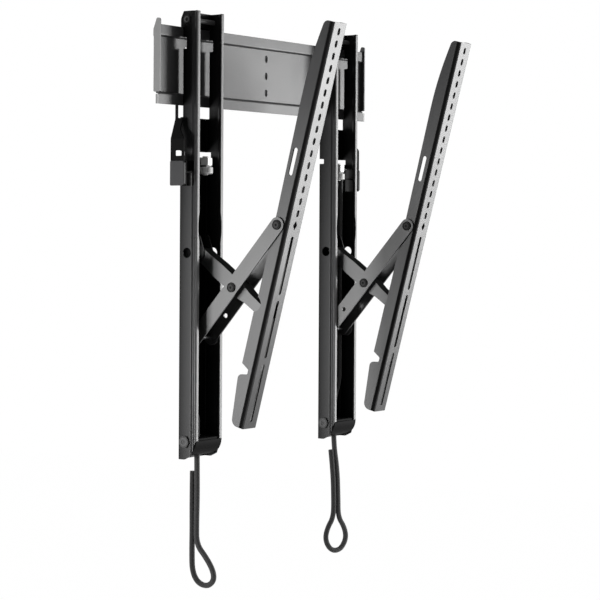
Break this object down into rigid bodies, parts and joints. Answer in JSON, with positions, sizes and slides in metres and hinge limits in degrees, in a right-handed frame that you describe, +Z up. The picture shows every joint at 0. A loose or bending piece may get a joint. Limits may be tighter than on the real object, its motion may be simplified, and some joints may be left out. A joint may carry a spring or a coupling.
{
  "type": "tilting screen wall bracket",
  "caption": "Tilting wall bracket for a flat screen: a wall plate with lipped rails that slide along it, scissor arms that tilt perforated brackets, and pull-cord latches.",
  "frame": {"origin": "middle of the wall plate's screw pattern, on the wall plane", "axes": "+X to the right seen from the room, +Y into the wall, +Z up"},
  "size_m": [0.622, 0.2955, 0.9589],
  "materials": {
    "black_steel": "satin black powder coat",
    "black_fixings": "black zinc plated pins, rivets and bolts",
    "bright_steel": "bright zinc plated",
    "glides": "black nylon",
    "cap_plastic": "satin black moulding",
    "grip_plastic": "dark grey moulding",
    "cord": "braided black cord"
  },
  "bodies": {
    "plate": {"wall_plate": "black_steel"},
    "left_carriage": {"left_rail": "black_steel", "left_top_axle": "black_fixings", "left_clevis": "black_steel", "left_pivot_pin": "black_fixings", "left_end_cap": "cap_plastic", "left_end_bolts": "black_fixings", "left_level_shelf": "black_steel", "left_level_nut": "bright_steel"},
    "left_latch_set": {"left_latch": "black_steel", "left_latch_grip": "grip_plastic", "left_pull_cord": "cord"},
    "left_leveller": {"left_level_screw": "bright_steel", "left_level_knob": "bright_steel"},
    "left_link_set": {"left_short_link": "black_steel", "left_low_pin": "black_fixings", "left_low_glides": "black_steel"},
    "left_arm_set": {"left_long_arm": "black_steel", "left_cross_pin": "black_fixings", "left_cross_bushes": "glides", "left_bracket_pin": "black_fixings", "left_run_pin": "black_fixings", "left_run_glides": "glides"},
    "left_bracket": {"left_screen_bracket": "black_steel"},
    "right_carriage": {"right_rail": "black_steel", "right_top_axle": "black_fixings", "right_clevis": "black_steel", "right_pivot_pin": "black_fixings", "right_end_cap": "cap_plastic", "right_end_bolts": "black_fixings", "right_level_shelf": "black_steel", "right_level_nut": "bright_steel"},
    "right_latch_set": {"right_latch": "black_steel", "right_latch_grip": "grip_plastic", "right_pull_cord": "cord"},
    "right_leveller": {"right_level_screw": "bright_steel", "right_level_knob": "bright_steel"},
    "right_link_set": {"right_short_link": "black_steel", "right_low_pin": "black_fixings", "right_low_glides": "black_steel"},
    "right_arm_set": {"right_long_arm": "black_steel", "right_cross_pin": "black_fixings", "right_cross_bushes": "glides", "right_bracket_pin": "black_fixings", "right_run_pin": "black_fixings", "right_run_glides": "glides"},
    "right_bracket": {"right_screen_bracket": "black_steel"}
  },
  "joints": [
    {"name": "left_traverse", "type": "slide", "parent": "plate", "child": "left_carriage", "axis": [1, 0, 0], "range_m": [-0.055, 0.06]},
    {"name": "left_release", "type": "slide", "parent": "left_carriage", "child": "left_latch_set", "axis": [0, 0, -1], "range_m": [0, 0.008], "stiffness_N_per_m": 300, "springref_m": -0.02},
    {"name": "left_level", "type": "hinge", "parent": "left_carriage", "child": "left_leveller", "pos_m": [-0.2, -0.0255, -0.17], "axis": [0, 0, 1], "continuous": true},
    {"name": "left_tilt", "type": "hinge", "parent": "left_carriage", "child": "left_link_set", "pos_m": [-0.2, -0.021, -0.3088], "axis": [1, 0, 0], "range_deg": [0, 36]},
    {"name": "left_cross", "type": "hinge", "parent": "left_link_set", "child": "left_arm_set", "pos_m": [-0.2, -0.0975, -0.365], "axis": [1, 0, 0], "range_deg": [-63, 0]},
    {"name": "left_pitch", "type": "hinge", "parent": "left_arm_set", "child": "left_bracket", "pos_m": [-0.2, -0.188, -0.262], "axis": [1, 0, 0], "range_deg": [0, 16.8]},
    {"name": "right_traverse", "type": "slide", "parent": "plate", "child": "right_carriage", "axis": [1, 0, 0], "range_m": [-0.06, 0.055]},
    {"name": "right_release", "type": "slide", "parent": "right_carriage", "child": "right_latch_set", "axis": [0, 0, -1], "range_m": [0, 0.008], "stiffness_N_per_m": 300, "springref_m": -0.02},
    {"name": "right_level", "type": "hinge", "parent": "right_carriage", "child": "right_leveller", "pos_m": [0.2, -0.0255, -0.17], "axis": [0, 0, 1], "continuous": true},
    {"name": "right_tilt", "type": "hinge", "parent": "right_carriage", "child": "right_link_set", "pos_m": [0.2, -0.021, -0.3088], "axis": [1, 0, 0], "range_deg": [0, 36]},
    {"name": "right_cross", "type": "hinge", "parent": "right_link_set", "child": "right_arm_set", "pos_m": [0.2, -0.0975, -0.365], "axis": [1, 0, 0], "range_deg": [-63, 0]},
    {"name": "right_pitch", "type": "hinge", "parent": "right_arm_set", "child": "right_bracket", "pos_m": [0.2, -0.188, -0.262], "axis": [1, 0, 0], "range_deg": [0, 16.8]}
  ],
  "couplings": [
    {"joint": "left_cross", "follows": "left_tilt", "ratio": -1.74},
    {"joint": "left_pitch", "follows": "left_tilt", "ratio": 0.462},
    {"joint": "right_cross", "follows": "right_tilt", "ratio": -1.74},
    {"joint": "right_pitch", "follows": "right_tilt", "ratio": 0.462}
  ]
}
